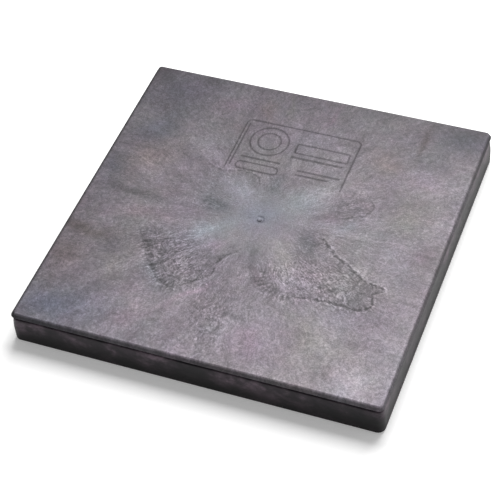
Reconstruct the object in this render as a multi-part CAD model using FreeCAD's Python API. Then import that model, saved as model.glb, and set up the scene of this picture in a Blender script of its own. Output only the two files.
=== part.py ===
import FreeCAD, Part
import math
import os

# Square moulded equipment pad, made from two plastic mouldings screwed together.
# The frame stands at the middle of the underside, +Z up, with the marking panel toward +Y.
# All sizes are in millimetres.

# Overall size
SIDE = 762.0
HEIGHT = 76.2
HALF = SIDE / 2

# Deck: a flat plate with a steep band round its edge
DECK_PLATE = 4.5
BAND_HEIGHT = 10.2
BAND_OUTSET = 6.2
DECK_CORNER_RADIUS = 6.0
DECK_EDGE_RADIUS = 2.2
BAND_LIP_RADIUS = 1.2
DECK_RIM_INSIDE = 367.5
DECK_RIM_CORNER_RADIUS = 3.0

# Seal between the deck's rim and the tray's skirt
SEAL_THICKNESS = 5.5
SEAL_OUTSIDE = 373.4
SEAL_WIDTH = 4.4
SEAL_CORNER_RADIUS = 7.4

# Tray: skirt with a rounded shoulder, floor and ribs
SKIRT_CORNER_RADIUS = 15.0
SKIRT_FOOT_RADIUS = 4.0
SKIRT_SHOULDER_INSET = 3.0
SKIRT_SHOULDER_RADIUS = 4.0
SKIRT_BULGE_HEIGHT = 36.0
SKIRT_BULGE_RADIUS = 120.0
SKIRT_INSIDE = 368.0
FLOOR_TOP = 4.8
RIB_PITCH = SIDE / 12
RIB_THICKNESS = 2.2
RIBS_EACH_WAY = 12
RIB_FIELD_HALF = 366.0

# Shallow pockets between the lands of the underside
POCKET_LAND = 8.0
POCKET_DEPTH = 1.8
POCKET_CORNER_RADIUS = 4.0

# Slots that core out the thick skirt from below
SLOT_LENGTH = 52.0
SLOT_WIDTH = 4.4
SLOT_DEPTH = 40.0
SLOT_CENTRE = 374.4
SLOTS_PER_SIDE = 11

# Deck ribs, which drop into notches in the tray's ribs
DECK_RIB_PITCH = SIDE / 6
DECK_RIB_THICKNESS = 2.4
DECK_RIB_DEPTH = 12.0
DECK_RIB_HALF_LENGTH = 364.0
NOTCH_CLEARANCE = 0.4

# Screws, driven from below into bosses on the deck
BOSS_MEETING_HEIGHT = 36.0
BOSS_DIAMETER = 13.0
PILOT_DIAMETER = 4.6
PILOT_DEPTH = 24.0
PILLAR_DIAMETER = 17.0
COUNTERBORE_DIAMETER = 11.5
COUNTERBORE_DEPTH = 31.0
CLEARANCE_DIAMETER = 5.6
SCREW_DIAMETER = 4.6
SCREW_LENGTH = 25.0
SCREW_TIP_LENGTH = 3.0
SCREW_TIP_DIAMETER = 1.6
HEAD_DIAMETER = 10.0
HEAD_HEIGHT = 3.4
HEAD_EDGE_RADIUS = 1.2
DRIVE_LENGTH = 5.2
DRIVE_WIDTH = 1.3
DRIVE_DEPTH = 1.9

# Gate well: the round dimple that the mould was filled through, with its stub
GATE_WELL_DIAMETER = 24.0
GATE_WELL_DEPTH = 1.6
GATE_WELL_WALL = 5.0
GATE_STUB_DIAMETER = 11.2
GATE_STUB_WALL = 1.8

# Marking panel: fine grooves in the deck, with blank bars where lettering would stand
GROOVE_DEPTH = 1.0
GROOVE_WIDTH = 3.2
PANEL_CENTRE = (2.0, 186.0)
PANEL_SIZE = (257.0, 174.0)
PANEL_FOOT = 121.0
PANEL_CORNER_RADIUS = 13.0
PANEL_LEFT_LINE_STEP = 7.5
PANEL_LEFT_LINE_LENGTH = 128.0
PANEL_LEFT_LINE_MIDDLE = 196.0
EMBLEM_CENTRE = (-59.0, 218.0)
RING_DIAMETERS = [86.0, 52.0]
PLATE_CENTRE = (60.0, 215.0)
PLATE_SIZE = (118.0, 30.0)
PLATE_CORNER_RADIUS = 5.0
PILL_CENTRE = (-59.0, 137.0)
PILL_SIZE = (95.0, 24.0)
BARS = [
    (56.0, 188.0, 112.0, 5.0),
    (-59.0, 162.0, 88.0, 4.0),
    (72.0, 153.0, 94.0, 4.0),
    (60.0, 141.0, 70.0, 4.0),
]

SKIRT_TOP = HEIGHT - BAND_HEIGHT - SEAL_THICKNESS
DECK_UNDERSIDE = HEIGHT - DECK_PLATE
UP = FreeCAD.Vector(0, 0, 1)

NEAR = DECK_RIB_PITCH
FAR = 2 * DECK_RIB_PITCH
SCREW_PLACES = [(x, y) for x in (-FAR, 0, FAR) for y in (-FAR, 0, FAR) if x or y]
SCREW_PLACES += [(x, y) for x in (-NEAR, NEAR) for y in (-NEAR, NEAR)]


def rounded_wire(corners):
    """Closed wire through corners given as (point, radius), with each corner rounded by an arc."""
    arcs = []
    for i, (point, radius) in enumerate(corners):
        before = (corners[i - 1][0] - point).normalize()
        after = (corners[(i + 1) % len(corners)][0] - point).normalize()
        half_angle = before.getAngle(after) / 2
        reach = radius / math.tan(half_angle)
        centre = point + (before + after).normalize() * (radius / math.sin(half_angle))
        middle = centre + (point - centre).normalize() * radius if radius else point
        arcs.append((point + before * reach, middle, point + after * reach, radius))
    edges = []
    for i, (start, middle, end, radius) in enumerate(arcs):
        if radius:
            edges.append(Part.Arc(start, middle, end).toShape())
        next_start = arcs[(i + 1) % len(arcs)][0]
        if (next_start - end).Length > 1e-6:
            edges.append(Part.LineSegment(end, next_start).toShape())
    return Part.Wire(edges)


def rounded_prism(length, width, radius, bottom, top, centre=(0.0, 0.0)):
    """Upright prism with a rounded rectangle for its plan."""
    corners = []
    for sx, sy in ((-1, -1), (1, -1), (1, 1), (-1, 1)):
        x = centre[0] + sx * length / 2
        y = centre[1] + sy * width / 2
        corners.append((FreeCAD.Vector(x, y, bottom), radius))
    return Part.Face(rounded_wire(corners)).extrude(UP * (top - bottom))


def block(x_low, x_high, y_low, y_high, z_low, z_high):
    """Box between two corners."""
    size = (x_high - x_low, y_high - y_low, z_high - z_low)
    return Part.makeBox(*size, FreeCAD.Vector(x_low, y_low, z_low))


def cylinder(diameter, bottom, top, centre=(0.0, 0.0)):
    """Upright cylinder."""
    base = FreeCAD.Vector(centre[0], centre[1], bottom)
    return Part.makeCylinder(diameter / 2, top - bottom, base, UP)


def four_ways(shape):
    """The shape and its three copies turned about the pad's middle."""
    turned = []
    for quarter in range(4):
        copy = shape.copy()
        copy.rotate(FreeCAD.Vector(0, 0, 0), UP, 90 * quarter)
        turned.append(copy)
    return turned


def square_sweep(section, inner_half):
    """Solid pad whose edge has one section all round, turned about the corners of an inner square.

    Each corner of the section is (distance out from the inner square, height, radius).
    """
    corners = [(FreeCAD.Vector(inner_half + out, inner_half, z), radius) for out, z, radius in section]
    face = Part.Face(rounded_wire(corners))
    side = face.extrude(FreeCAD.Vector(0, -2 * inner_half, 0))
    corner = face.revolve(FreeCAD.Vector(inner_half, inner_half, 0), UP, 90)
    heights = [z for out, z, radius in section if out == 0]
    core = block(-inner_half, inner_half, -inner_half, inner_half, min(heights), max(heights))
    return core.multiFuse(four_ways(side) + four_ways(corner)).removeSplitter()


def groove_outline(centre, size, radius):
    """Ring-shaped cutter for a groove round a rounded rectangle."""
    bottom = HEIGHT - GROOVE_DEPTH
    outer = rounded_prism(size[0], size[1], radius, bottom, HEIGHT + 1, centre)
    inner_size = (size[0] - 2 * GROOVE_WIDTH, size[1] - 2 * GROOVE_WIDTH)
    inner = rounded_prism(*inner_size, radius - GROOVE_WIDTH, bottom - 1, HEIGHT + 2, centre)
    return outer.cut(inner)


def marking_cutters():
    """Cutters for the marking panel's frame, open at its foot, its plain rings and its blank bars."""
    bottom = HEIGHT - GROOVE_DEPTH
    frame = groove_outline(PANEL_CENTRE, PANEL_SIZE, PANEL_CORNER_RADIUS)
    below_foot = block(-HALF, HALF, -HALF, PANEL_FOOT, bottom - 1, HEIGHT + 2)
    cutters = [frame.cut(below_foot)]
    line_x = PANEL_CENTRE[0] - PANEL_SIZE[0] / 2 + PANEL_LEFT_LINE_STEP + GROOVE_WIDTH / 2
    line_size = (GROOVE_WIDTH, PANEL_LEFT_LINE_LENGTH)
    line_centre = (line_x, PANEL_LEFT_LINE_MIDDLE)
    cutters.append(rounded_prism(*line_size, GROOVE_WIDTH / 2 - 0.1, bottom, HEIGHT + 1, line_centre))
    for diameter in RING_DIAMETERS:
        ring = cylinder(diameter, bottom, HEIGHT + 1, EMBLEM_CENTRE)
        core = cylinder(diameter - 2 * GROOVE_WIDTH, bottom - 1, HEIGHT + 2, EMBLEM_CENTRE)
        cutters.append(ring.cut(core))
    cutters.append(groove_outline(PLATE_CENTRE, PLATE_SIZE, PLATE_CORNER_RADIUS))
    cutters.append(groove_outline(PILL_CENTRE, PILL_SIZE, PILL_SIZE[1] / 2 - 0.1))
    for x, y, length, width in BARS:
        cutters.append(rounded_prism(length, width, width / 2 - 0.1, bottom, HEIGHT + 1, (x, y)))
    return cutters


def deck_ribs(thickness, half_length, depth):
    """Straight ribs both ways under the deck, one on each line of its rib grid."""
    ribs = []
    for line in range(-2, 3):
        x = line * DECK_RIB_PITCH
        low = DECK_UNDERSIDE - depth
        near, far = x - thickness / 2, x + thickness / 2
        ribs.append(block(near, far, -half_length, half_length, low, DECK_UNDERSIDE))
        ribs.append(block(-half_length, half_length, near, far, low, DECK_UNDERSIDE))
    return ribs


def make_deck_cover():
    """Top moulding: plate, edge band, ribs, screw bosses, gate well and marking panel."""
    inner_half = HALF - BAND_OUTSET - DECK_CORNER_RADIUS
    band_out = DECK_CORNER_RADIUS + BAND_OUTSET
    lip = HEIGHT - BAND_HEIGHT
    section = [
        (0, lip, 0),
        (band_out, lip, BAND_LIP_RADIUS),
        (DECK_CORNER_RADIUS, HEIGHT, DECK_EDGE_RADIUS),
        (0, HEIGHT, 0),
    ]
    deck = square_sweep(section, inner_half)
    rim_side = 2 * DECK_RIM_INSIDE
    deck = deck.cut(rounded_prism(rim_side, rim_side, DECK_RIM_CORNER_RADIUS, lip - 1, DECK_UNDERSIDE))
    bosses = []
    for place in SCREW_PLACES:
        bosses.append(cylinder(BOSS_DIAMETER, BOSS_MEETING_HEIGHT, DECK_UNDERSIDE, place))
    deck = deck.multiFuse(deck_ribs(DECK_RIB_THICKNESS, DECK_RIB_HALF_LENGTH, DECK_RIB_DEPTH) + bosses)
    pilots = []
    for place in SCREW_PLACES:
        pilot_top = BOSS_MEETING_HEIGHT + PILOT_DEPTH
        pilots.append(cylinder(PILOT_DIAMETER, BOSS_MEETING_HEIGHT - 1, pilot_top, place))
    well_floor = FreeCAD.Vector(0, 0, HEIGHT - GATE_WELL_DEPTH)
    well_radius = GATE_WELL_DIAMETER / 2
    stub_radius = GATE_STUB_DIAMETER / 2
    well = Part.makeCone(well_radius - GATE_WELL_WALL, well_radius, GATE_WELL_DEPTH, well_floor, UP)
    stub_top_radius = stub_radius - GATE_STUB_WALL
    stub = Part.makeCone(stub_radius, stub_top_radius, GATE_WELL_DEPTH, well_floor, UP)
    well = well.cut(stub)
    return deck.cut(Part.makeCompound(pilots + marking_cutters() + [well])).removeSplitter()


def make_perimeter_seal():
    """Closed-cell strip in the joint between the two mouldings."""
    top = SKIRT_TOP + SEAL_THICKNESS
    outer = rounded_prism(2 * SEAL_OUTSIDE, 2 * SEAL_OUTSIDE, SEAL_CORNER_RADIUS, SKIRT_TOP, top)
    inside = 2 * (SEAL_OUTSIDE - SEAL_WIDTH)
    inner_radius = SEAL_CORNER_RADIUS - SEAL_WIDTH
    return outer.cut(rounded_prism(inside, inside, inner_radius, SKIRT_TOP - 1, top + 1))


def tray_cells():
    """The spaces between the tray's ribs, with a narrower row along each side."""
    middles = [(i - (RIBS_EACH_WAY - 1) / 2) * RIB_PITCH for i in range(RIBS_EACH_WAY)]
    lows = [-SKIRT_INSIDE] + [rib + RIB_THICKNESS / 2 for rib in middles]
    highs = [rib - RIB_THICKNESS / 2 for rib in middles] + [SKIRT_INSIDE]
    spans = list(zip(lows, highs))
    cells = []
    for x_low, x_high in spans:
        for y_low, y_high in spans:
            cells.append(block(x_low, x_high, y_low, y_high, FLOOR_TOP, HEIGHT))
    return cells


def underside_cutters():
    """Shallow pockets under the floor and the slots that core out the skirt."""
    cutters = []
    per_side = RIBS_EACH_WAY - 1
    side = RIB_PITCH - POCKET_LAND
    for i in range(per_side):
        for j in range(per_side):
            centre = ((i - (per_side - 1) / 2) * RIB_PITCH, (j - (per_side - 1) / 2) * RIB_PITCH)
            cutters.append(rounded_prism(side, side, POCKET_CORNER_RADIUS, -1, POCKET_DEPTH, centre))
    slots = []
    for i in range(SLOTS_PER_SIDE):
        centre = ((i - (SLOTS_PER_SIDE - 1) / 2) * RIB_PITCH, -SLOT_CENTRE)
        corner_radius = SLOT_WIDTH / 2 - 0.1
        slots.append(rounded_prism(SLOT_LENGTH, SLOT_WIDTH, corner_radius, -1, SLOT_DEPTH, centre))
    for slot in slots:
        cutters.extend(four_ways(slot))
    return cutters


def make_base_tray():
    """Lower moulding: skirt with a rounded shoulder, floor, ribs and screw pillars."""
    out = SKIRT_CORNER_RADIUS
    section = [
        (0, 0, 0),
        (out, 0, SKIRT_FOOT_RADIUS),
        (out, SKIRT_BULGE_HEIGHT, SKIRT_BULGE_RADIUS),
        (out - SKIRT_SHOULDER_INSET, SKIRT_TOP, SKIRT_SHOULDER_RADIUS),
        (0, SKIRT_TOP, 0),
    ]
    tray = square_sweep(section, HALF - out)
    field = RIB_FIELD_HALF
    tray = tray.fuse(block(-field, field, -field, field, FLOOR_TOP, DECK_UNDERSIDE))
    notch_width = DECK_RIB_THICKNESS + 2 * NOTCH_CLEARANCE
    notches = deck_ribs(notch_width, DECK_RIB_HALF_LENGTH + 3, DECK_RIB_DEPTH + NOTCH_CLEARANCE)
    tray = tray.cut(Part.makeCompound(tray_cells()))
    for notch in notches:
        tray = tray.cut(notch)
    pillars = []
    for place in SCREW_PLACES:
        pillars.append(cylinder(PILLAR_DIAMETER, FLOOR_TOP - 1, BOSS_MEETING_HEIGHT, place))
    tray = tray.multiFuse(pillars)
    holes = []
    for place in SCREW_PLACES:
        holes.append(cylinder(COUNTERBORE_DIAMETER, -1, COUNTERBORE_DEPTH, place))
        holes.append(cylinder(CLEARANCE_DIAMETER, COUNTERBORE_DEPTH - 1, BOSS_MEETING_HEIGHT + 1, place))
    for cutter_group in (underside_cutters(), holes[::2], holes[1::2]):
        tray = tray.cut(Part.makeCompound(cutter_group))
    return tray.removeSplitter()


def make_screw(place):
    """Pan-head self-tapping screw with a cross recess, driven upward from the counterbore."""
    seat = COUNTERBORE_DEPTH
    head = cylinder(HEAD_DIAMETER, seat - HEAD_HEIGHT, seat, place)
    rim = [edge for edge in head.Edges if edge.BoundBox.ZMax < seat - HEAD_HEIGHT + 0.01]
    head = head.makeFillet(HEAD_EDGE_RADIUS, rim)
    tip_start = seat + SCREW_LENGTH - SCREW_TIP_LENGTH
    shank = cylinder(SCREW_DIAMETER, seat - 0.5, tip_start, place)
    tip_base = FreeCAD.Vector(place[0], place[1], tip_start)
    tip = Part.makeCone(SCREW_DIAMETER / 2, SCREW_TIP_DIAMETER / 2, SCREW_TIP_LENGTH, tip_base, UP)
    low = seat - HEAD_HEIGHT - 1
    high = seat - HEAD_HEIGHT + DRIVE_DEPTH
    drive = rounded_prism(DRIVE_LENGTH, DRIVE_WIDTH, 0.4, low, high, place)
    drive = drive.fuse(rounded_prism(DRIVE_WIDTH, DRIVE_LENGTH, 0.4, low, high, place))
    return head.multiFuse([shank, tip]).removeSplitter().cut(drive)


def make_assembly_screws():
    """All the screws as one group of separate solids."""
    return Part.makeCompound([make_screw(place) for place in SCREW_PLACES])


os.makedirs("parts", exist_ok=True)
nodes = {
    "deck_cover": make_deck_cover(),
    "perimeter_seal": make_perimeter_seal(),
    "base_tray": make_base_tray(),
    "assembly_screws": make_assembly_screws(),
}
for name, shape in nodes.items():
    shape.exportStep("parts/" + name + ".step")
    box = shape.BoundBox
    print(name, "valid", shape.isValid(), "solids", len(shape.Solids), "volume", round(shape.Volume),
          "box", [round(v, 2) for v in (box.XMin, box.XMax, box.YMin, box.YMax, box.ZMin, box.ZMax)])
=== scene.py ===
import math
from collections import namedtuple

import bmesh
import bpy
import numpy as np
from mathutils import Matrix, Vector


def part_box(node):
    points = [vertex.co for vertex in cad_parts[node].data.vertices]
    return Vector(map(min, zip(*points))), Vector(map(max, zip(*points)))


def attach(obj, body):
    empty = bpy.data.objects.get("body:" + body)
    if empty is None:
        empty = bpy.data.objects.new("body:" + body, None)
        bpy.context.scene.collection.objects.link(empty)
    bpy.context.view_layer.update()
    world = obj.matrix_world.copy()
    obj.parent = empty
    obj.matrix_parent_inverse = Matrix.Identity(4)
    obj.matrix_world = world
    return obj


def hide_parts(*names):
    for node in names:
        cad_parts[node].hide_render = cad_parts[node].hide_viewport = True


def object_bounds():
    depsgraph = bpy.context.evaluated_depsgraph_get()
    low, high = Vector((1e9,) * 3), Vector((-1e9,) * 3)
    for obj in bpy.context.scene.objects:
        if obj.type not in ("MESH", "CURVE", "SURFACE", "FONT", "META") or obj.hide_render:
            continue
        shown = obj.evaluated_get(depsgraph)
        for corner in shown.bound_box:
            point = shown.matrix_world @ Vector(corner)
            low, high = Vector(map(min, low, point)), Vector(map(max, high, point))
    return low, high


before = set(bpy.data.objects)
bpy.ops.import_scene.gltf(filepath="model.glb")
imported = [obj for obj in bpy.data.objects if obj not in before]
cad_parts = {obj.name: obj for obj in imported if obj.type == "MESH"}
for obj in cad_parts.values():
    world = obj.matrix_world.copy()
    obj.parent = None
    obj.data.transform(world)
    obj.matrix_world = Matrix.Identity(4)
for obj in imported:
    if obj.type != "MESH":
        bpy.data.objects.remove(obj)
CAD_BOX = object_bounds()

# Sizes of the deck moulding, in metres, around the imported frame's own box
DECK_LOW, DECK_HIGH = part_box("deck_cover")
TOP = DECK_HIGH.z
SIDE_HALF = CAD_BOX[1].x
PLATE = 0.0045
BAND_HEIGHT = 0.0102
BAND_OUTSET = 0.0062
CORNER_RADIUS = 0.0060
EDGE_RADIUS = 0.0022
LIP_RADIUS = 0.0012
BAND_STOPS_SHORT = 0.0014
RIM_WIDTH = 0.0135
RIM_CORNER_RADIUS = 0.0030
FLAT_HALF = SIDE_HALF - BAND_OUTSET - CORNER_RADIUS
RIM_INSIDE = SIDE_HALF - RIM_WIDTH

# Ribs and screw bosses under the deck
RIB_PITCH = 2 * SIDE_HALF / 6
RIB_LINES = range(-2, 3)
RIB_THICKNESS = 0.0024
RIB_DEPTH = 0.012
RIB_END_GAP = 0.017
RIB_HALF_LENGTH = SIDE_HALF - RIB_END_GAP
BOSS_RADIUS = 0.0065
BOSS_FOOT = DECK_LOW.z
PILOT_RADIUS = 0.0023
PILOT_DEPTH = 0.024
PILOT_OVERCUT = 0.002

# Grooves of the marking panel
GROOVE_DEPTH = 0.0010
GROOVE_WIDTH = 0.0032
GROOVE_WALL = 0.0006

# Marking panel, with two plain rings and blank bars: (x, y, length, width, corner radius)
PANEL = (0.002, 0.186, 0.257, 0.174, 0.013)
PANEL_FOOT = 0.121
PANEL_LEFT_LINE = (-0.1174, 0.196, 0.0032, 0.128, 0.0015)
OUTLINES = [
    (0.060, 0.215, 0.118, 0.030, 0.005),
    (-0.059, 0.137, 0.095, 0.024, 0.0119),
    (-0.059, 0.218, 0.086, 0.086, 0.043),
    (-0.059, 0.218, 0.052, 0.052, 0.026),
]
FILLED_BARS = [
    PANEL_LEFT_LINE,
    (0.056, 0.188, 0.112, 0.005, 0.0024),
    (-0.059, 0.162, 0.088, 0.004, 0.0019),
    (0.072, 0.153, 0.094, 0.004, 0.0019),
    (0.060, 0.141, 0.070, 0.004, 0.0019),
]

# Gate well in the middle of the deck
WELL_RADIUS = 0.0120
WELL_DEPTH = 0.0016
WELL_WALL = 0.0050
STUB_RADIUS = 0.0056
STUB_WALL = 0.0018

# Spacing of the top face's grid: finer from side to side of the panel, finest across the gate well
COARSE, FINE, FINEST = 0.0052, 0.0014, 0.0007
FINE_X = (-0.131, 0.135)
FINE_Y = (0.117, 0.276)

# Unevenness of the top face: shrink marks over the ribs, shallow waves, and a slight overall hollow
SINK_DEPTH = 0.00010
SINK_WIDTH = 0.004
WAVE_HEIGHT = 0.00012
RIPPLE_HEIGHT = 0.00003
HOLLOW_DEPTH = 0.0001
CALM_EDGE = 0.02


# ---------------------------------------------------------------- fields on the deck's top face

def lattice_noise(u, v, seed):
    """Smooth value noise from -1 to 1 on a unit lattice."""
    size = 4096
    table = np.random.default_rng(seed).uniform(-1, 1, size)
    iu = np.floor(u).astype(int)
    iv = np.floor(v).astype(int)
    fu = u - iu
    fv = v - iv
    fu = fu * fu * (3 - 2 * fu)
    fv = fv * fv * (3 - 2 * fv)

    def corner(a, b):
        # three primes scatter neighbouring corners over the table
        return table[(a * 73 + b * 1031 + a * b * 7) % size]

    low = corner(iu, iv) * (1 - fu) + corner(iu + 1, iv) * fu
    high = corner(iu, iv + 1) * (1 - fu) + corner(iu + 1, iv + 1) * fu
    return low * (1 - fv) + high * fv


def cloud(x, y, size, seed, octaves=3):
    """Several octaves of lattice noise whose largest lumps are about size metres."""
    shift_x, shift_y = 37.7, 11.3
    falloff = 1.8
    total = 0
    for octave in range(octaves):
        scale = 2 ** octave / size
        lumps = lattice_noise(x * scale + shift_x, y * scale + shift_y, seed + octave)
        total = total + lumps / falloff ** octave
    return total


def smooth_step(low, high, value):
    """0 below low, 1 above high, smooth between."""
    t = np.clip((value - low) / (high - low), 0, 1)
    return t * t * (3 - 2 * t)


def rounded_distance(x, y, shape):
    """Distance outside (+) or inside (-) a rounded rectangle."""
    cx, cy, length, width, radius = shape
    dx = np.abs(x - cx) - length / 2 + radius
    dy = np.abs(y - cy) - width / 2 + radius
    outside = np.hypot(np.maximum(dx, 0), np.maximum(dy, 0))
    return outside + np.minimum(np.maximum(dx, dy), 0) - radius


def mark_depth(x, y):
    """How deep the marking panel's grooves are at each point, from 0 to 1."""

    def groove_round(shape):
        from_middle = np.abs(rounded_distance(x, y, shape) + GROOVE_WIDTH / 2)
        return 1 - smooth_step(GROOVE_WIDTH / 2 - GROOVE_WALL, GROOVE_WIDTH / 2 + GROOVE_WALL, from_middle)

    depth = groove_round(PANEL) * smooth_step(PANEL_FOOT - GROOVE_WALL, PANEL_FOOT + GROOVE_WALL, y)
    for shape in OUTLINES:
        depth = np.maximum(depth, groove_round(shape))
    for shape in FILLED_BARS:
        inside = 1 - smooth_step(-GROOVE_WALL, GROOVE_WALL, rounded_distance(x, y, shape))
        depth = np.maximum(depth, inside)
    return depth


def gate_depth(x, y):
    """Depth of the gate well in metres, with its stub standing in the middle."""
    r = np.hypot(x, y)
    well = WELL_DEPTH * (1 - smooth_step(WELL_RADIUS - WELL_WALL, WELL_RADIUS, r))
    stub = WELL_DEPTH * (1 - smooth_step(STUB_RADIUS - STUB_WALL, STUB_RADIUS, r))
    return well - stub


# Fronts where two flows of plastic met, with the darker plastic on their left: the darkness of the
# line, how feathered it is, the shade beside it, and points along it in metres
Front = namedtuple("Front", "darkness feathering shade points")
FRONTS = [
    # left wing: feathered lower-left edge, then the crisp lower-right edge
    Front(0.45, 1.0, 0.54, [
        (-0.226, -0.090), (-0.206, -0.120), (-0.163, -0.180),
        (-0.135, -0.210), (-0.105, -0.221), (-0.085, -0.214),
    ]),
    Front(0.70, 0.25, 0.36, [
        (-0.090, -0.216), (-0.062, -0.190), (-0.040, -0.166),
        (-0.040, -0.140), (-0.028, -0.112), (-0.005, -0.085),
    ]),
    # right wing: ragged lower-left edge, then round the tip and back along the upper edge
    Front(0.25, 1.0, 0.26, [
        (0.042, -0.128), (0.055, -0.155), (0.080, -0.176),
        (0.110, -0.182), (0.150, -0.172), (0.170, -0.170),
    ]),
    Front(0.90, 0.5, 0.24, [
        (0.130, -0.177), (0.150, -0.172), (0.205, -0.166), (0.262, -0.170), (0.279, -0.160),
        (0.284, -0.145), (0.278, -0.122), (0.294, -0.107), (0.250, -0.094), (0.216, -0.071),
        (0.182, -0.052), (0.152, -0.025), (0.128, -0.006),
    ]),
    # curls beside the marking panel, and an arch near the front
    Front(0.50, 0.2, 0.05, [
        (0.140, 0.042), (0.158, 0.048), (0.180, 0.061), (0.203, 0.074), (0.207, 0.104), (0.190, 0.120),
    ]),
    Front(0.50, 0.3, 0.16, [
        (-0.030, 0.082), (-0.045, 0.110), (-0.075, 0.121),
        (-0.105, 0.113), (-0.135, 0.112), (-0.165, 0.124),
    ]),
    Front(0.40, 0.2, 0.00, [
        (-0.040, -0.292), (-0.036, -0.268), (-0.022, -0.250), (0.000, -0.246), (0.018, -0.256),
    ]),
]
# How a front fades at its ends, how soft its edge is, and how far the shade beside it reaches
FRONT_FADE = 0.020
FRONT_EDGE = (-0.004, 0.006)
SHADE_REACH = 0.030
# Further than any point of the deck is from a front
FAR = 9.0


def smooth_line(points, steps=8):
    """Points along a Catmull-Rom curve through the given points."""
    pts = np.array(points, float)
    pts = np.vstack([2 * pts[0] - pts[1], pts, 2 * pts[-1] - pts[-2]])
    curve = []
    for a, b, c, d in zip(pts[:-3], pts[1:-2], pts[2:-1], pts[3:]):
        for t in np.arange(steps) / steps:
            bend = (2 * a - 5 * b + 4 * c - d) * t + (3 * b - a - 3 * c + d) * t * t
            curve.append(b + 0.5 * t * (c - a + bend))
    curve.append(pts[-2])
    return np.array(curve)


def front_field(x, y, line):
    """Distance to a line, positive on its left, with the length along it and its strength.

    The strength is 1, and fades to 0 at both ends of the line."""
    best = np.full(x.shape, FAR)
    signed = np.full(x.shape, -FAR)
    along = np.zeros(x.shape)
    travelled = 0.0
    for (ax, ay), (bx, by) in zip(line[:-1], line[1:]):
        dx, dy = bx - ax, by - ay
        length = math.hypot(dx, dy)
        t = np.clip(((x - ax) * dx + (y - ay) * dy) / length ** 2, 0, 1)
        distance = np.hypot(x - ax - t * dx, y - ay - t * dy)
        side = np.where(dx * (y - ay) - dy * (x - ax) > 0, 1, -1)
        nearer = distance < best
        best = np.where(nearer, distance, best)
        signed = np.where(nearer, distance * side, signed)
        along = np.where(nearer, travelled + t * length, along)
        travelled += length
    fade = smooth_step(0, FRONT_FADE, along) * smooth_step(0, FRONT_FADE, travelled - along)
    return signed, along, fade


# Lightness of a patch of plastic against the plastic round it
PALE, LIGHT, EVEN, DIM, DARK = 0.38, 0.20, 0.0, -0.20, -0.44
# The marbling, as soft patches of one lightness: (x, y, length, width, angle in degrees, tint).
# A tint is "b" blue-grey, "p" pink-mauve, "g" green-grey, "t" teal-grey, "r" brown or "n" neutral.
MARBLING = {
    PALE: [
        (-0.065, 0.072, 0.12, 0.09, 130, "t"),
        (-0.090, -0.060, 0.15, 0.06, 30, "t"),
        (-0.055, -0.095, 0.08, 0.04, 30, "p"),
        (0.325, -0.325, 0.22, 0.14, 25, "n"),
    ],
    LIGHT: [
        (0.070, 0.075, 0.15, 0.09, 48, "t"),
        (0.080, -0.090, 0.11, 0.07, -55, "g"),
        (0.110, 0.120, 0.10, 0.05, 60, "n"),
        (0.170, 0.025, 0.06, 0.04, 60, "t"),
        (-0.160, -0.200, 0.10, 0.04, -45, "t"),
        (-0.060, -0.225, 0.16, 0.02, 50, "p"),
    ],
    EVEN: [
        (0.000, 0.000, 0.14, 0.12, 0, "b"),
        (0.000, 0.030, 0.34, 0.24, 0, "t"),
        (-0.110, -0.080, 0.24, 0.14, 30, "t"),
        (-0.240, -0.045, 0.22, 0.06, 10, "p"),
        (-0.290, 0.100, 0.16, 0.12, 60, "r"),
        (-0.180, 0.300, 0.12, 0.06, 30, "p"),
        (-0.085, 0.300, 0.11, 0.05, 120, "r"),
        (-0.045, 0.330, 0.12, 0.02, 105, "g"),
        (0.045, 0.320, 0.12, 0.02, 80, "p"),
        (0.190, 0.230, 0.14, 0.10, 20, "r"),
        (0.290, 0.110, 0.20, 0.15, 60, "g"),
        (0.200, -0.240, 0.24, 0.10, -20, "g"),
        (0.085, -0.320, 0.16, 0.08, 80, "p"),
        (-0.160, -0.320, 0.15, 0.08, 60, "p"),
        (-0.230, -0.210, 0.12, 0.08, 70, "g"),
        (-0.270, -0.335, 0.28, 0.15, 0, "b"),
    ],
    DIM: [
        (0.000, 0.105, 0.09, 0.05, 90, "t"),
        (0.130, 0.040, 0.09, 0.04, 30, "p"),
        (0.010, -0.205, 0.12, 0.06, 90, "n"),
        (-0.310, 0.300, 0.26, 0.18, 45, "b"),
        (-0.300, 0.190, 0.13, 0.10, 60, "b"),
        (-0.350, 0.060, 0.11, 0.08, 80, "b"),
        (-0.345, -0.200, 0.12, 0.10, 90, "r"),
        (0.345, -0.010, 0.08, 0.09, 0, "p"),
        (-0.320, -0.330, 0.14, 0.12, 20, "b"),
    ],
    DARK: [
        (-0.100, 0.015, 0.10, 0.05, -5, "t"),
        (0.110, -0.035, 0.08, 0.05, -60, "t"),
        (0.020, -0.100, 0.09, 0.03, -80, "n"),
        (0.045, -0.150, 0.06, 0.03, -60, "p"),
        (-0.290, 0.005, 0.22, 0.03, 0, "n"),
        (-0.330, -0.125, 0.18, 0.04, 0, "r"),
        (0.330, 0.335, 0.17, 0.11, 0, "b"),
        (0.255, 0.310, 0.14, 0.02, 90, "r"),
    ],
}
# Strength of the fine texture in the quiet plastic, what the wings and the rays add to it, and
# where they do: (x, y, length, width, angle in degrees)
QUIET_TEXTURE = 0.70
WING_GAIN = 0.95
WING_TEXTURE = [
    (0.185, -0.120, 0.26, 0.14, -15),
    (-0.125, -0.145, 0.24, 0.15, -35),
]
RAY_GAIN = 0.45
RAY_TEXTURE = [
    (0.000, -0.270, 0.26, 0.11, 90),
    (0.090, -0.140, 0.16, 0.11, -20),
    (0.120, -0.015, 0.10, 0.11, 0),
    (0.165, 0.090, 0.12, 0.09, 40),
    (0.000, 0.100, 0.08, 0.08, 0),
    (-0.100, 0.015, 0.12, 0.09, 0),
]
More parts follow.
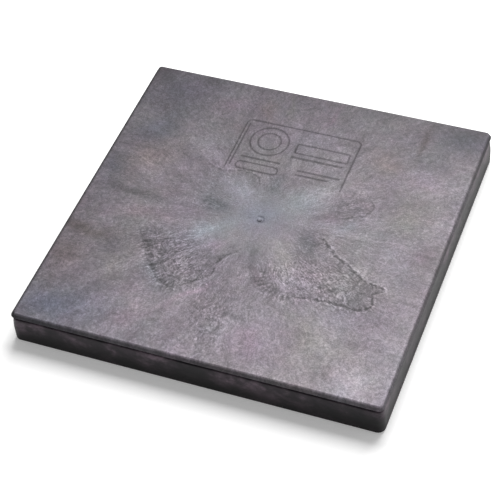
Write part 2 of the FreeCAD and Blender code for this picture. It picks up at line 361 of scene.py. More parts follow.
# Red, green and blue of each tint against the base colour
TINTS = {
    "b": (0.930, 1.000, 1.095),
    "p": (1.060, 0.955, 1.010),
    "g": (1.000, 1.040, 0.940),
    "t": (0.930, 1.020, 1.020),
    "r": (1.060, 0.990, 0.920),
    "n": (1.000, 1.000, 1.000),
}
# The deck's base colour is partly the plastic's own tone and partly painted sheen: the top is made paler
# than the band and the tray, which are the same plastic
BASE_COLOUR = (0.185, 0.163, 0.187)
DARKEST, BRIGHTEST = 0.01, 0.9
# Painted sheen in the deck's lightness: lighter per metre to the right and the front, and darker near
# three of its sides where the sheen falls off
SHEEN_SLOPE = 0.48
SHEEN_FADE_LEFT = 0.30
SHEEN_FADE_RIGHT = 0.14
SHEEN_FADE_BACK = 0.55
# How far the patches' outlines wander, and how strong the clouds over them are
WANDER = 0.010
FINE_WANDER = 0.004
CLOUD_LIGHT = 0.05
CLOUD_TINT = 0.030
# Painted highlight on the back of the gate's stub and painted shadow in front of it: (lightness, x, y,
# length, width, angle in degrees)
STUB_HIGHLIGHT_AND_SHADOW = [
    (0.40, -0.001, 0.003, 0.014, 0.010, 0),
    (-0.85, 0.002, -0.004, 0.016, 0.010, 15),
]


def spot(x, y, cx, cy, length, width, angle):
    """Soft-edged ellipse, 1 in its middle and about a tenth at its outline."""
    falloff = 2.2
    turn = math.radians(angle)
    along = (x - cx) * math.cos(turn) + (y - cy) * math.sin(turn)
    across = -(x - cx) * math.sin(turn) + (y - cy) * math.cos(turn)
    return np.exp(-falloff * ((2 * along / length) ** 2 + (2 * across / width) ** 2))


def wing_shade(x, y):
    """How far the darker plastic beside the flow fronts shades each point."""
    shade = np.zeros_like(x)
    for front in FRONTS:
        signed, _, fade = front_field(x, y, smooth_line(front.points))
        beside = smooth_step(*FRONT_EDGE, signed) * np.exp(-np.maximum(signed, 0) / SHADE_REACH)
        shade = np.maximum(shade, front.shade * beside * fade)
    return shade


def liveliness(x, y):
    """Strength of the fine texture, low in the quiet outer plastic and high in the wings."""
    lively = np.full_like(x, QUIET_TEXTURE)
    for gain, patches in ((WING_GAIN, WING_TEXTURE), (RAY_GAIN, RAY_TEXTURE)):
        for patch in patches:
            lively = lively + gain * spot(x, y, *patch)
    return lively


def stained_colour(x, y):
    """The broad marbling of the deck, as a linear colour for each point."""
    warp_x = x + WANDER * cloud(x, y, size=0.09, seed=11) + FINE_WANDER * cloud(x, y, size=0.02, seed=21)
    warp_y = y + WANDER * cloud(x, y, size=0.09, seed=31) + FINE_WANDER * cloud(x, y, size=0.02, seed=41)
    light = CLOUD_LIGHT * cloud(x, y, size=0.14, seed=51) + CLOUD_LIGHT * cloud(x, y, size=0.035, seed=55)
    to_left, to_right, to_back = (np.clip(way / SIDE_HALF, 0, 1) for way in (-x, x, y))
    # painted sheen: lighter towards the front right, darker towards the left and the back
    light = light + SHEEN_SLOPE * (x - y) - SHEEN_FADE_LEFT * to_left ** 3 - SHEEN_FADE_BACK * to_back ** 3
    tint = np.zeros((len(x), 3))
    for lightness, patches in MARBLING.items():
        for *patch, name in patches:
            weight = spot(warp_x, warp_y, *patch)
            light = light + lightness * weight
            tint = tint + weight[:, None] * (np.array(TINTS[name]) - 1)
    # darker plastic beside the fronts, and painted sheen falling off near the right side
    light = light - wing_shade(x, y) - SHEEN_FADE_RIGHT * to_right ** 3
    # painted highlight and painted shadow on either side of the gate's stub
    for lightness, *patch in STUB_HIGHLIGHT_AND_SHADOW:
        light = light + lightness * spot(x, y, *patch)
    # pink clouds take green out and add some blue, and blue ones take a little green out
    pink = CLOUD_TINT * cloud(x, y, size=0.07, seed=61)
    blue = CLOUD_TINT * cloud(x, y, size=0.09, seed=71)
    tint = tint + np.stack([pink, -0.5 * pink - 0.3 * blue, 0.4 * pink + blue], 1)
    colour = np.array(BASE_COLOUR) * (1 + tint) * np.exp(light)[:, None]
    return np.clip(colour, DARKEST, BRIGHTEST)


def surface_height(x, y):
    """Height of the deck's top face above or below its nominal plane."""
    height = -GROOVE_DEPTH * mark_depth(x, y) - gate_depth(x, y)
    for line in RIB_LINES:
        for offset in (x - line * RIB_PITCH, y - line * RIB_PITCH):
            height = height - SINK_DEPTH * np.exp(-(offset / SINK_WIDTH) ** 2)
    from_edge = smooth_step(0, CALM_EDGE, FLAT_HALF - np.maximum(np.abs(x), np.abs(y)))
    waves = WAVE_HEIGHT * cloud(x, y, size=0.12, seed=81)
    waves = waves + RIPPLE_HEIGHT * cloud(x, y, size=0.025, seed=91)
    return height + (waves - HOLLOW_DEPTH) * from_edge


# ---------------------------------------------------------------- deck mesh

def grid_lines(spans):
    """Positions across the flat, with the step of each span given as (its end, step)."""
    lines = []
    start = -FLAT_HALF
    for end, step in spans:
        count = max(1, round((end - start) / step))
        lines.append(np.linspace(start, end, count, endpoint=False))
        start = end
    return np.append(np.concatenate(lines), start)


def rounded_corner(before, point, after, radius, steps=5):
    """Points of the arc that rounds one corner of an outline."""
    to_before = (before - point).normalized()
    to_after = (after - point).normalized()
    half_angle = to_before.angle(to_after) / 2
    centre = point + (to_before + to_after).normalized() * (radius / math.sin(half_angle))
    start = point + to_before * (radius / math.tan(half_angle)) - centre
    end = point + to_after * (radius / math.tan(half_angle)) - centre
    return [centre + start.lerp(end, step / steps).normalized() * radius for step in range(steps + 1)]


def edge_profile():
    """(distance out from the flat's outline, height) down the deck's edge and round its lip."""
    flat = Vector((0.0, TOP))
    edge = Vector((CORNER_RADIUS, TOP))
    lip = Vector((CORNER_RADIUS + BAND_OUTSET, TOP - BAND_HEIGHT))
    under = Vector((0.0, TOP - BAND_HEIGHT))
    edge_arc = rounded_corner(flat, edge, lip, EDGE_RADIUS)
    lip_arc = rounded_corner(edge, lip, under, LIP_RADIUS)
    band_end = lip + (edge - lip).normalized() * BAND_STOPS_SHORT
    band_steps = 5
    band = [edge_arc[-1].lerp(band_end, step / band_steps) for step in range(1, band_steps)]
    return edge_arc + band + lip_arc


def outline_of(index, top):
    """The grid's outer vertices in order, with the way out from each; a corner's repeats as a fan."""
    corner_angles = {index[0, 0]: 180, index[0, -1]: 270, index[-1, -1]: 0, index[-1, 0]: 90}
    fan_steps = 6
    vertices = []
    ways_out = []
    for vertex in np.concatenate([index[0, :-1], index[:-1, -1], index[-1, :0:-1], index[:0:-1, 0]]):
        x, y = top[vertex, :2]
        if vertex in corner_angles:
            turns = [corner_angles[vertex] + 90 * step / fan_steps for step in range(fan_steps + 1)]
            ways = [(math.cos(math.radians(turn)), math.sin(math.radians(turn))) for turn in turns]
        elif abs(x) > abs(y):
            ways = [(math.copysign(1, x), 0)]
        else:
            ways = [(0, math.copysign(1, y))]
        vertices += [vertex] * len(ways)
        ways_out += ways
    return np.array(vertices), np.array(ways_out)


def deck_mesh():
    """Closed mesh of the deck's plate and band, with the relief of its top face."""
    xs = grid_lines([(FINE_X[0], COARSE), (-WELL_RADIUS, FINE), (WELL_RADIUS, FINEST),
                     (FINE_X[1], FINE), (FLAT_HALF, COARSE)])
    ys = grid_lines([(-WELL_RADIUS, COARSE), (WELL_RADIUS, FINEST), (FINE_Y[0], COARSE),
                     (FINE_Y[1], FINE), (FLAT_HALF, COARSE)])
    x, y = (grid.ravel() for grid in np.meshgrid(xs, ys))
    top = np.column_stack([x, y, TOP + surface_height(x, y)])
    index = np.arange(len(top)).reshape(len(ys), len(xs))
    quads = np.stack([index[:-1, :-1], index[:-1, 1:], index[1:, 1:], index[1:, :-1]], -1)
    faces = quads.reshape(-1, 4).tolist()

    previous, ways_out = outline_of(index, top)
    outline = top[previous, :2]
    rim = outline * ((RIM_INSIDE - RIM_CORNER_RADIUS) / FLAT_HALF) + ways_out * RIM_CORNER_RADIUS
    rings = [(outline + ways_out * out, z) for out, z in edge_profile()]
    rings += [(rim, TOP - BAND_HEIGHT), (rim, TOP - PLATE)]
    count = len(outline)
    points = [top]
    first = len(top)
    for xy, z in rings:
        points.append(np.column_stack([xy, np.full(count, z)]))
        current = first + np.arange(count)
        first += count
        for i in range(count):
            j = (i + 1) % count
            face = [int(previous[j]), int(previous[i]), int(current[i]), int(current[j])]
            # at a corner of the grid the fan's faces start from one vertex, as triangles
            if face[0] == face[1]:
                face = face[1:]
            faces.append(face)
        previous = current
    points.append(np.array([[0, 0, TOP - PLATE]]))
    for i in range(count):
        faces.append([first, int(previous[(i + 1) % count]), int(previous[i])])
    return np.concatenate(points), faces


def set_float(mesh, name, values):
    """Stores one number for each vertex."""
    mesh.attributes.new(name, "FLOAT", "POINT").data.foreach_set("value", values.astype(np.float32))


def store_marbling(mesh, shade):
    """Stores the marbling and flow fronts on a deck mesh, shaded by one factor for each vertex."""
    wing_gain = 2.5
    x, y, z = np.array([v.co for v in mesh.vertices]).T
    colour = np.column_stack([stained_colour(x, y) * shade[:, None], np.ones(len(x))])
    marbling = mesh.attributes.new("marbling", "FLOAT_COLOR", "POINT")
    marbling.data.foreach_set("color", colour.astype(np.float32).ravel())
    fields = {name: np.zeros(len(x)) for name in ("front_along", "front_line", "front_feather")}
    fields["front"] = np.full(len(x), FAR)
    for front in FRONTS:
        signed, along, fade = front_field(x, y, smooth_line(front.points))
        nearer = np.abs(signed) < np.abs(fields["front"])
        values = {"front": signed, "front_along": along, "front_line": front.darkness * fade,
                  "front_feather": front.feathering * fade}
        for name in values:
            fields[name] = np.where(nearer, values[name], fields[name])
    fields["mark"] = mark_depth(x, y) * (z > TOP - 2 * GROOVE_DEPTH)
    fields["wing"] = np.clip(wing_gain * wing_shade(x, y), 0, 1)
    fields["lively"] = liveliness(x, y)
    for name, values in fields.items():
        set_float(mesh, name, values)


def edge_shade(points):
    """Factor on the plastic's lightness: painted highlight on the top edge, painted shade on the band's
    side and along the left rim.
    """
    highlight_paler, band_shade_darker, left_rim_darker = 0.16, 0.60, 0.80
    rim_reach = 0.003
    highlight_drop = (0.0012, 0.0030)
    side_drop = (0.0012, 0.0045)
    drop = TOP - points[:, 2]
    beyond = np.maximum(np.abs(points[:, 0]), np.abs(points[:, 1])) - FLAT_HALF
    at_rim = smooth_step(-rim_reach, 0.0, beyond - (CORNER_RADIUS - EDGE_RADIUS))
    # painted highlight: the top edge is paler where its rounding catches the light
    edge_highlight = at_rim * (1 - smooth_step(*highlight_drop, drop))
    # painted shade: the band is the same plastic as the top, made darker because it turns down away from
    # the light
    side = smooth_step(*side_drop, drop) * (beyond > 0)
    # painted shade: a dark line along the left rim, which turns away from the light
    left_rim_shade = (points[:, 0] < -FLAT_HALF) * at_rim
    return (1 + highlight_paler * edge_highlight) * (1 - band_shade_darker * side) * (1 - left_rim_darker * left_rim_shade)


def make_deck():
    """The deck's plate and band, with their marbling, the painted highlight along the top edge and the
    painted shade on the band.
    """
    points, faces = deck_mesh()
    mesh = bpy.data.meshes.new("deck_moulding")
    mesh.from_pydata(points.tolist(), [], faces)
    mesh.update()
    store_marbling(mesh, edge_shade(points))
    mesh.polygons.foreach_set("use_smooth", np.ones(len(mesh.polygons), bool))
    piece = bpy.data.objects.new("deck_moulding", mesh)
    bpy.context.scene.collection.objects.link(piece)
    return piece


# ---------------------------------------------------------------- ribs and bosses under the deck

def add_box(bm, low, high):
    """Closed box between two corners."""
    made = bmesh.ops.create_cube(bm, size=1)
    size = Vector(high) - Vector(low)
    middle = (Vector(high) + Vector(low)) / 2
    place = Matrix.Translation(middle) @ Matrix.Diagonal((*size, 1))
    bmesh.ops.transform(bm, matrix=place, verts=made["verts"])


def add_post(bm, place, radius, low, high):
    """Closed upright round post."""
    middle = Matrix.Translation((*place, (low + high) / 2))
    bmesh.ops.create_cone(bm, cap_ends=True, segments=32, radius1=radius, radius2=radius,
                          depth=high - low, matrix=middle)


def object_from(bm, name):
    """New object in the scene that holds one bmesh."""
    mesh = bpy.data.meshes.new(name)
    bm.to_mesh(mesh)
    bm.free()
    piece = bpy.data.objects.new(name, mesh)
    bpy.context.scene.collection.objects.link(piece)
    return piece


def combine(base, operation, other):
    """Applies one boolean to base and removes the other object."""
    cut = base.modifiers.new("combine", "BOOLEAN")
    cut.operation = operation
    cut.solver = "EXACT"
    cut.object = other
    result = bpy.data.meshes.new_from_object(base.evaluated_get(bpy.context.evaluated_depsgraph_get()))
    base.modifiers.clear()
    result.name = base.name
    base.data = result
    bpy.data.objects.remove(other)


def make_ribs():
    """The deck's crossed ribs and screw bosses, as one closed body that hangs from its plate."""
    plate_foot = TOP - PLATE
    half = RIB_THICKNESS / 2
    along_x, along_y, posts, pilots = (bmesh.new() for part in range(4))
    for line in RIB_LINES:
        near, far = line * RIB_PITCH - half, line * RIB_PITCH + half
        low, high = plate_foot - RIB_DEPTH, plate_foot
        add_box(along_x, (-RIB_HALF_LENGTH, near, low), (RIB_HALF_LENGTH, far, high))
        add_box(along_y, (near, -RIB_HALF_LENGTH, low), (far, RIB_HALF_LENGTH, high))
    crossings = [(i, j) for i in (-2, 0, 2) for j in (-2, 0, 2) if i or j]
    crossings += [(i, j) for i in (-1, 1) for j in (-1, 1)]
    for i, j in crossings:
        place = (i * RIB_PITCH, j * RIB_PITCH)
        add_post(posts, place, BOSS_RADIUS, BOSS_FOOT, plate_foot)
        add_post(pilots, place, PILOT_RADIUS, BOSS_FOOT - PILOT_OVERCUT, BOSS_FOOT + PILOT_DEPTH)
    ribs = object_from(along_x, "deck_ribs_and_bosses")
    combine(ribs, "UNION", object_from(along_y, "ribs_along_y"))
    combine(ribs, "UNION", object_from(posts, "posts"))
    combine(ribs, "DIFFERENCE", object_from(pilots, "pilots"))
    store_marbling(ribs.data, np.ones(len(ribs.data.vertices)))
    return ribs


# ---------------------------------------------------------------- materials

class Nodes:
    """Short calls that add shader nodes to one material."""

    def __init__(self, name):
        self.material = bpy.data.materials.new(name)
        self.material.use_nodes = True
        self.tree = self.material.node_tree
        self.shader = self.tree.nodes["Principled BSDF"]

    def add(self, kind, inputs=None, **settings):
        """New node of a kind, with its inputs linked or set and its settings made."""
        node = self.tree.nodes.new(kind)
        for key, value in settings.items():
            setattr(node, key, value)
        for key, value in (inputs or {}).items():
            self.put(node.inputs[key], value)
        return node

    def put(self, socket, value):
        """Links a socket to another one, or sets it to a number, a vector or a colour."""
        if isinstance(value, bpy.types.NodeSocket):
            self.tree.links.new(value, socket)
        else:
            socket.default_value = value

    def math(self, operation, a, b=0.0):
        """Result of an operation on one or two numbers."""
        node = self.add("ShaderNodeMath", operation=operation)
        for socket, value in zip(node.inputs, (a, b)):
            self.put(socket, value)
        return node.outputs[0]

    def vector(self, operation, a, b=(0.0, 0.0, 0.0)):
        """Result of an operation on one or two vectors."""
        node = self.add("ShaderNodeVectorMath", operation=operation)
        self.put(node.inputs[0], a)
        self.put(node.inputs[1], b)
        return node.outputs[0] if operation != "LENGTH" else node.outputs["Value"]

    def scale(self, a, factor):
        """A vector or colour times a number."""
        node = self.add("ShaderNodeVectorMath", operation="SCALE")
        self.put(node.inputs[0], a)
        self.put(node.inputs["Scale"], factor)
        return node.outputs[0]

    def field(self, name, kind="Fac"):
        """What the mesh stores under a name for each vertex."""
        return self.add("ShaderNodeAttribute", attribute_name=name).outputs[kind]

    def noise(self, vector, scale, detail=2.0, roughness=0.5, distortion=0.0, output="Fac"):
        """Noise from 0 to 1, or with the output "Color" a noise in each of red, green and blue."""
        node = self.add("ShaderNodeTexNoise", {"Vector": vector, "Scale": scale, "Detail": detail,
                                               "Roughness": roughness, "Distortion": distortion})
        return node.outputs[output]

    def ramp(self, value, stops):
        """Colour ramp through stops of (position, red, green, blue)."""
        node = self.add("ShaderNodeValToRGB", {"Fac": value})
        elements = node.color_ramp.elements
        elements[0].position = stops[0][0]
        elements[1].position = stops[-1][0]
        for stop in stops[1:-1]:
            elements.new(stop[0])
        for element, (position, *colour) in zip(elements, stops):
            element.color = (*colour, 1)
        return node.outputs["Color"]

    def remap(self, value, from_low, from_high, to_low, to_high):
        """A value carried smoothly from one range to another, and held at its ends."""
        node = self.add("ShaderNodeMapRange", interpolation_type="SMOOTHSTEP")
        for key, number in (("Value", value), ("From Min", from_low), ("From Max", from_high),
                            ("To Min", to_low), ("To Max", to_high)):
            self.put(node.inputs[key], number)
        return node.outputs["Result"]

    def rise(self, value, low, high):
        """0 below low, 1 above high, smooth between."""
        return self.remap(value, low, high, 0.0, 1.0)

    def fall(self, value, low, high):
        """1 below low, 0 above high, smooth between."""
        return self.remap(value, low, high, 1.0, 0.0)

    def join(self, x, y, z):
        """Vector of three numbers."""
        return self.add("ShaderNodeCombineXYZ", {"X": x, "Y": y, "Z": z}).outputs[0]

    def around(self, value, middle, strength):
        """How far a value is above or below a middle one, times a strength."""
        return self.math("MULTIPLY", self.math("SUBTRACT", value, middle), strength)

    def roughen(self, height, strength, depth):
        """Bumps the surface by a height pattern, in which a height of 1 is depth metres."""
        bump = self.add("ShaderNodeBump", {"Strength": strength, "Distance": depth, "Height": height})
        self.put(self.shader.inputs["Normal"], bump.outputs[0])

    def product(self, first, *others):
        """All the values multiplied."""
        for value in others:
            first = self.math("MULTIPLY", first, value)
        return first

    def total(self, first, *others):
        """All the values added."""
        for value in others:
            first = self.math("ADD", first, value)
        return first


# Noise that fans out from the gate: rays round it, cuts along them, detail, roughness, distortion
FANNED_NOISE = {
    "broad": (5.0, 13.0, 1.5, 0.50, 0.0),
    "rays": (11.0, 6.0, 2.0, 0.55, 0.0),
    "fine": (26.0, 42.0, 2.0, 0.60, 0.6),
    "thread": (64.0, 130.0, 1.0, 0.50, 0.8),
    "scales": (13.0, 175.0, 1.0, 0.50, 0.5),
    "strands": (20.0, 44.0, 2.0, 0.55, 1.0),
}
# Noise with no direction, in the same bent coordinates: scale, detail, roughness, distortion
BENT_NOISE = {
    "speckle": (165.0, 2.0, 0.6, 1.2),
    "mottle": (60.0, 3.0, 0.6, 0.0),
    "breaks": (110.0, 2.0, 0.6, 0.0),
}
# Grain, straight across the plastic: scale, detail, roughness
GRAIN_NOISE = (520.0, 2.0, 0.6)
# How strongly each pattern lightens (+) or darkens (-) the deck's plastic
DECK_STRENGTH = {
    "broad": 0.70,
    "rays": 0.60,
    "fine": 0.90,
    "thread": 1.40,
    "dark_strands": -0.50,
    "speckle": 1.60,
    "scales": 1.20,
    "shaded_scales": 1.10,
    "ridges": 0.15,
    "mottle": 0.40,
    "grain": 1.50,
    "plume": 3.4,
    "dark_line": -1.00,
    "pale_line": 0.30,
    "rib_ghosts": -0.14,
    # painted shade, with some dirt, in the marking panel's grooves
    "mark": -0.70,
}
# The most that the fine texture may lighten the deck
TEXTURE_CAP = 0.24


def deck_patterns(n):
    """The deck's coordinates, noise patterns and stored fields, as sockets by name."""
    bend = 0.022
    place = n.add("ShaderNodeTexCoord").outputs["Object"]
    warp = n.vector("SUBTRACT", n.noise(place, 24.0, output="Color"), (0.5, 0.5, 0.5))
    bent = n.vector("ADD", place, n.scale(warp, bend))
    flat = n.vector("MULTIPLY", bent, (1.0, 1.0, 0.0))
    distance = n.vector("LENGTH", flat)
    direction = n.vector("NORMALIZE", flat)
    found = {"place": place, "bent": bent, "distance": distance}
    for name, (rays, cuts, detail, roughness, distortion) in FANNED_NOISE.items():
        outward = n.join(0.0, 0.0, n.math("MULTIPLY", distance, cuts))
        fan = n.vector("ADD", n.scale(direction, rays), outward)
        found[name] = n.noise(fan, 1.0, detail, roughness, distortion)
    for name, settings in BENT_NOISE.items():
        found[name] = n.noise(bent, *settings)
    found["grain"] = n.noise(place, *GRAIN_NOISE)
    for name in ("front", "front_along", "front_line", "front_feather", "wing", "lively", "mark"):
        found[name] = n.field(name)
    return found


def front_marks(n, on):
    """Plumes beside the flow fronts, with the broken dark line and the pale line along them."""
    barbs_along, barbs_across, barb_bend = 180.0, 60.0, 1.5
    speckle_wobble, mottle_wobble = 0.010, 0.012
    thinnest, widening, pale_offset = 0.0014, 0.0036, 0.0050
    barb_place = n.join(n.math("MULTIPLY", on["front_along"], barbs_along),
                        n.math("MULTIPLY", on["front"], barbs_across),
                        n.math("MULTIPLY", on["mottle"], barb_bend))
    barbs = n.math("SUBTRACT", n.noise(barb_place, 1.0, 2.0, 0.6), 0.5)
    near_front = n.fall(n.math("ABSOLUTE", on["front"]), 0.004, 0.024)
    plume = n.product(barbs, near_front, on["front_feather"])
    wobble = n.total(n.around(on["speckle"], 0.5, speckle_wobble),
                     n.around(on["mottle"], 0.5, mottle_wobble))
    edge = n.total(on["front"], wobble)
    line = n.math("MULTIPLY", on["front_line"], n.remap(on["breaks"], 0.36, 0.56, 0.35, 1.25))
    reach = n.total(thinnest, n.math("MULTIPLY", line, widening))
    dark_line = n.product(n.fall(n.math("ABSOLUTE", edge), 0.0004, reach), line)
    off_pale = n.math("ABSOLUTE", n.total(edge, pale_offset))
    pale_line = n.product(n.fall(off_pale, 0.0006, 0.0030), line)
    return plume, dark_line, pale_line


def wing_ridges(n, on, in_wing):
    """Fine ridges in the wings, which run along the fronts and bend round the gate."""
    front_ridges, gate_ridges, ridge_bend = 1050.0, 260.0, 16.0
    phase = n.total(n.math("MULTIPLY", on["front"], front_ridges),
                    n.math("MULTIPLY", on["distance"], gate_ridges),
                    n.math("MULTIPLY", on["mottle"], ridge_bend))
    return n.math("MULTIPLY", n.math("SINE", phase), in_wing)


def fine_texture(n, on, in_wing, ridges):
    """Dark strands, specks, scales and ridges, strongest in the wings."""
    off_strand = n.math("ABSOLUTE", n.math("SUBTRACT", on["strands"], 0.5))
    where_lively = n.remap(on["lively"], 0.70, 1.25, 0.15, 1.0)
    dark_strands = n.product(n.fall(off_strand, 0.010, 0.090), where_lively)
    texture = n.total(
        n.math("MULTIPLY", dark_strands, DECK_STRENGTH["dark_strands"]),
        n.product(n.math("SUBTRACT", on["speckle"], 0.52), on["lively"], DECK_STRENGTH["speckle"]),
        n.product(n.math("SUBTRACT", on["scales"], 0.30), in_wing, DECK_STRENGTH["scales"]),
        n.product(n.math("SUBTRACT", on["scales"], 0.56), on["wing"], DECK_STRENGTH["shaded_scales"]),
        n.math("MULTIPLY", ridges, DECK_STRENGTH["ridges"]),
    )
    return n.math("MINIMUM", texture, TEXTURE_CAP)


def flow_streaks(n, on):
    """Streaks from broad to thread-like that fan out from the gate."""
    return n.total(
        n.around(on["broad"], 0.5, DECK_STRENGTH["broad"]),
        n.around(on["rays"], 0.5, DECK_STRENGTH["rays"]),
        n.product(n.math("SUBTRACT", on["fine"], 0.5), on["lively"], DECK_STRENGTH["fine"]),
        n.product(n.math("SUBTRACT", on["thread"], 0.5), on["lively"], DECK_STRENGTH["thread"]),
    )


def rib_ghosts(n, place):
    """Faint lines, here and there, where the ribs under the deck draw its surface in."""
    axes = n.add("ShaderNodeSeparateXYZ", {"Vector": place}).outputs
    lines = [n.fall(n.math("PINGPONG", axis, RIB_PITCH / 2), 0.002, 0.007) for axis in axes[:2]]
    here_and_there = n.rise(n.noise(place, 5.0, 1.0), 0.40, 0.60)
    return n.product(n.math("MAXIMUM", lines[0], lines[1]), here_and_there)


def deck_material():
    """Marbled recycled plastic: broad stains, fanning streaks, ragged flow fronts and a fine grain."""
    n = Nodes("marbled_deck_plastic")
    on = deck_patterns(n)
    plume, dark_line, pale_line = front_marks(n, on)
    in_wing = n.rise(on["lively"], 0.95, 1.45)
    ridges = wing_ridges(n, on, in_wing)
    # both are weaker close to the gate
    streaks_from_gate = n.remap(on["distance"], 0.040, 0.140, 0.16, 1.0)
    texture_from_gate = n.remap(on["distance"], 0.030, 0.110, 0.60, 1.0)
    change = n.total(
        n.math("MULTIPLY", flow_streaks(n, on), streaks_from_gate),
        n.math("MULTIPLY", fine_texture(n, on, in_wing, ridges), texture_from_gate),
        n.around(on["mottle"], 0.5, DECK_STRENGTH["mottle"]),
        n.around(on["grain"], 0.5, DECK_STRENGTH["grain"]),
        n.math("MULTIPLY", plume, DECK_STRENGTH["plume"]),
        n.math("MULTIPLY", dark_line, DECK_STRENGTH["dark_line"]),
        n.math("MULTIPLY", pale_line, DECK_STRENGTH["pale_line"]),
        n.math("MULTIPLY", rib_ghosts(n, on["place"]), DECK_STRENGTH["rib_ghosts"]),
        # painted shade, with some dirt, darkens the marking panel's grooves
        n.math("MULTIPLY", on["mark"], DECK_STRENGTH["mark"]),
    )
    marbling = n.scale(n.field("marbling", "Color"), n.math("EXPONENT", change))
    # a faint colour noise whose mean is 1
    cast = n.vector("ADD", n.scale(n.noise(on["bent"], 48.0, output="Color"), 0.08), (0.960, 0.960, 0.960))
    n.put(n.shader.inputs["Base Color"], n.vector("MULTIPLY", marbling, cast))
    n.put(n.shader.inputs["Roughness"], n.total(0.44, n.math("MULTIPLY", on["mottle"], 0.14),
                                                n.math("MULTIPLY", on["speckle"], 0.08)))
    relief = n.total(
        n.math("MULTIPLY", on["fine"], 0.5),
        n.math("MULTIPLY", on["speckle"], 0.5),
        n.math("MULTIPLY", on["grain"], 0.25),
        n.math("MULTIPLY", ridges, 0.12),
        n.math("MULTIPLY", dark_line, -0.4),
    )
    n.roughen(relief, strength=0.5, depth=0.0005)
    n.shader.inputs["IOR"].default_value = 1.5
    n.shader.inputs["Specular IOR Level"].default_value = 0.30
    return n.material


# The tray's plastic, from its darkest clouds to its palest: (place in the noise, red, green, blue)
TRAY_COLOURS = [
    (0.38, 0.005, 0.003, 0.006),
    (0.50, 0.027, 0.019, 0.026),
    (0.64, 0.112, 0.080, 0.103),
]
# How strongly each pattern lightens (+) or darkens (-) the tray's plastic
TRAY_STRENGTH = {"streak": 2.2, "grain": 0.6, "foot_shade": -1.8, "underside": 1.2}


def tray_material():
    """The same plastic on the tray: darker on the skirt, with painted shade towards its foot, and lighter
    on its downward faces.
    """
    n = Nodes("marbled_tray_plastic")
    place = n.add("ShaderNodeTexCoord").outputs["Object"]
    drawn = n.vector("MULTIPLY", place, (1.0, 1.0, 1.6))
    clouds = n.noise(drawn, 14.0, 5.0, 0.62)
    streak = n.noise(drawn, 46.0, 4.0, 0.65)
    grain = n.noise(place, 320.0, 3.0, 0.6)
    height = n.add("ShaderNodeSeparateXYZ", {"Vector": place}).outputs[2]
    normal = n.add("ShaderNodeNewGeometry").outputs["Normal"]
    upward = n.add("ShaderNodeSeparateXYZ", {"Vector": normal}).outputs[2]
    underside = n.fall(upward, -0.95, -0.80)
    # painted shade: the skirt darkens towards its foot, where it faces the pad's shadow on the floor, and
    # is a little rougher there
    low = n.fall(n.total(height, n.math("MULTIPLY", clouds, 0.010)), 0.018, 0.058)
    foot_shade = n.math("MULTIPLY", low, n.math("SUBTRACT", 1.0, underside))
    change = n.total(
        n.around(streak, 0.5, TRAY_STRENGTH["streak"]),
        n.around(grain, 0.5, TRAY_STRENGTH["grain"]),
        n.math("MULTIPLY", foot_shade, TRAY_STRENGTH["foot_shade"]),
        n.math("MULTIPLY", underside, TRAY_STRENGTH["underside"]),
    )
    n.put(n.shader.inputs["Base Color"], n.scale(n.ramp(clouds, TRAY_COLOURS), n.math("EXPONENT", change)))
    n.put(n.shader.inputs["Roughness"], n.total(0.26, n.math("MULTIPLY", streak, 0.16),
                                                n.math("MULTIPLY", clouds, 0.22),
                                                n.math("MULTIPLY", foot_shade, 0.14)))
    n.shader.inputs["Specular IOR Level"].default_value = 0.24
    n.roughen(n.total(n.math("MULTIPLY", streak, 0.5), grain), strength=0.4, depth=0.0004)
    return n.material


def seal_material():
    """Black closed-cell foam with small pores."""
    n = Nodes("closed_cell_foam")
    place = n.add("ShaderNodeTexCoord").outputs["Object"]
    cells = n.add("ShaderNodeTexVoronoi", {"Vector": place, "Scale": 1100.0}).outputs["Distance"]
    lumps = n.noise(place, 240.0, 3.0, 0.6)
    shade = n.remap(cells, 0.1, 0.7, 0.006, 0.022)
    n.put(n.shader.inputs["Base Color"], n.join(shade, shade, n.math("MULTIPLY", shade, 1.1)))
    n.put(n.shader.inputs["Roughness"], n.total(0.72, n.math("MULTIPLY", lumps, 0.2)))
    n.roughen(cells, strength=0.6, depth=0.0003)
    return n.material


def screw_material():
    """Zinc-plated steel with faint turning marks and a slight yellow cast."""
    n = Nodes("zinc_plated_steel")
    place = n.add("ShaderNodeTexCoord").outputs["Object"]
    blotches = n.noise(place, 420.0, 4.0, 0.6)
    turning = n.noise(n.vector("MULTIPLY", place, (300.0, 300.0, 5000.0)), 1.0, 2.0)
    zinc = n.ramp(blotches, [(0.0, 0.36, 0.36, 0.38), (1.0, 0.66, 0.64, 0.58)])
    n.put(n.shader.inputs["Base Color"], zinc)
    n.shader.inputs["Metallic"].default_value = 1.0
    n.put(n.shader.inputs["Roughness"], n.total(0.26, n.math("MULTIPLY", turning, 0.22)))
    return n.material


def floor_material():
    """Plain pale floor, glowing a little so that the pad's shadow on it stays soft."""
    n = Nodes("pale_floor")
    n.shader.inputs["Emission Color"].default_value = (1.0, 1.0, 1.0, 1)
    n.shader.inputs["Emission Strength"].default_value = 0.22
    n.shader.inputs["Base Color"].default_value = (0.92, 0.92, 0.92, 1)
    n.shader.inputs["Roughness"].default_value = 0.8
    return n.material


def give(piece, material):
    """Puts one material in all of a piece's slots."""
    if not piece.data.materials:
        piece.data.materials.append(material)
    for place in piece.material_slots:
        place.material = material


# ---------------------------------------------------------------- stage, light and camera

def make_floor():
    """Large pale sheet just under the pad."""
    half, sunk = 30.0, 0.0002
    mesh = bpy.data.meshes.new("floor")
    corners = [(-half, -half, 0), (half, -half, 0), (half, half, 0), (-half, half, 0)]
    mesh.from_pydata(corners, [], [(0, 1, 2, 3)])
    floor = bpy.data.objects.new("floor", mesh)
    bpy.context.scene.collection.objects.link(floor)
    give(floor, floor_material())
    floor.location.z = -sunk


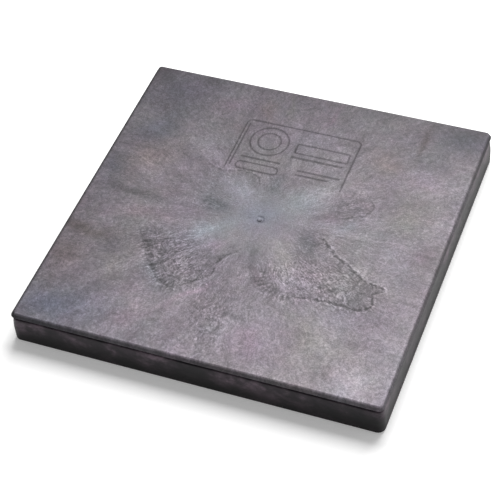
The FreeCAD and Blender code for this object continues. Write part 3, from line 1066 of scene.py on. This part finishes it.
def soft_box(name, place, target, size, power):
    """Square area light aimed at a point."""
    data = bpy.data.lights.new(name, "AREA")
    data.size = size
    data.energy = power
    lamp = bpy.data.objects.new(name, data)
    lamp.location = place
    lamp.rotation_euler = (Vector(target) - Vector(place)).to_track_quat("-Z", "Y").to_euler()
    bpy.context.scene.collection.objects.link(lamp)


def make_light():
    """Even pale surroundings, one large soft light above and behind, and a weak one at the right."""
    world = bpy.data.worlds.new("studio")
    world.use_nodes = True
    background = world.node_tree.nodes["Background"]
    background.inputs["Color"].default_value = (1.0, 1.0, 1.0, 1)
    background.inputs["Strength"].default_value = 0.25
    bpy.context.scene.world = world
    soft_box("key", place=(0.10, 1.95, 3.37), target=(0.0, 0.0, 0.0), size=2.4, power=193.0)
    soft_box("side", place=(2.60, 0.20, 0.90), target=(0.0, 0.0, 0.0), size=1.6, power=8.0)


def make_camera():
    """Camera at the viewing angle, with a long lens and a slight roll."""
    azimuth, elevation, roll = (math.radians(a) for a in (24.66, 47.43, -5.52))
    aim = Vector((-0.0183, -0.0204, 0.0))
    distance = 3.400
    back = Vector((math.sin(azimuth) * math.cos(elevation), -math.cos(azimuth) * math.cos(elevation),
                   math.sin(elevation)))
    right = (-back).cross(Vector((0, 0, 1))).normalized()
    up = right.cross(-back)
    rolled_right = math.cos(roll) * right + math.sin(roll) * up
    rolled_up = math.cos(roll) * up - math.sin(roll) * right
    data = bpy.data.cameras.new("camera")
    data.sensor_width = 36.0
    data.lens = 119.66
    camera = bpy.data.objects.new("camera", data)
    turn = Matrix((rolled_right, rolled_up, back)).transposed()
    camera.matrix_world = Matrix.Translation(aim + back * distance) @ turn.to_4x4()
    bpy.context.scene.collection.objects.link(camera)
    bpy.context.scene.camera = camera


def main():
    """Makes the stage, the deck's pieces and the materials."""
    bpy.context.scene.view_settings.view_transform = "Standard"
    make_camera()
    make_light()
    make_floor()

    plastic = deck_material()
    for piece in (make_deck(), make_ribs()):
        give(piece, plastic)
        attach(piece, "root")
        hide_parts("deck_cover")

    give(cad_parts["base_tray"], tray_material())
    give(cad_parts["perimeter_seal"], seal_material())
    give(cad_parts["assembly_screws"], screw_material())


main()
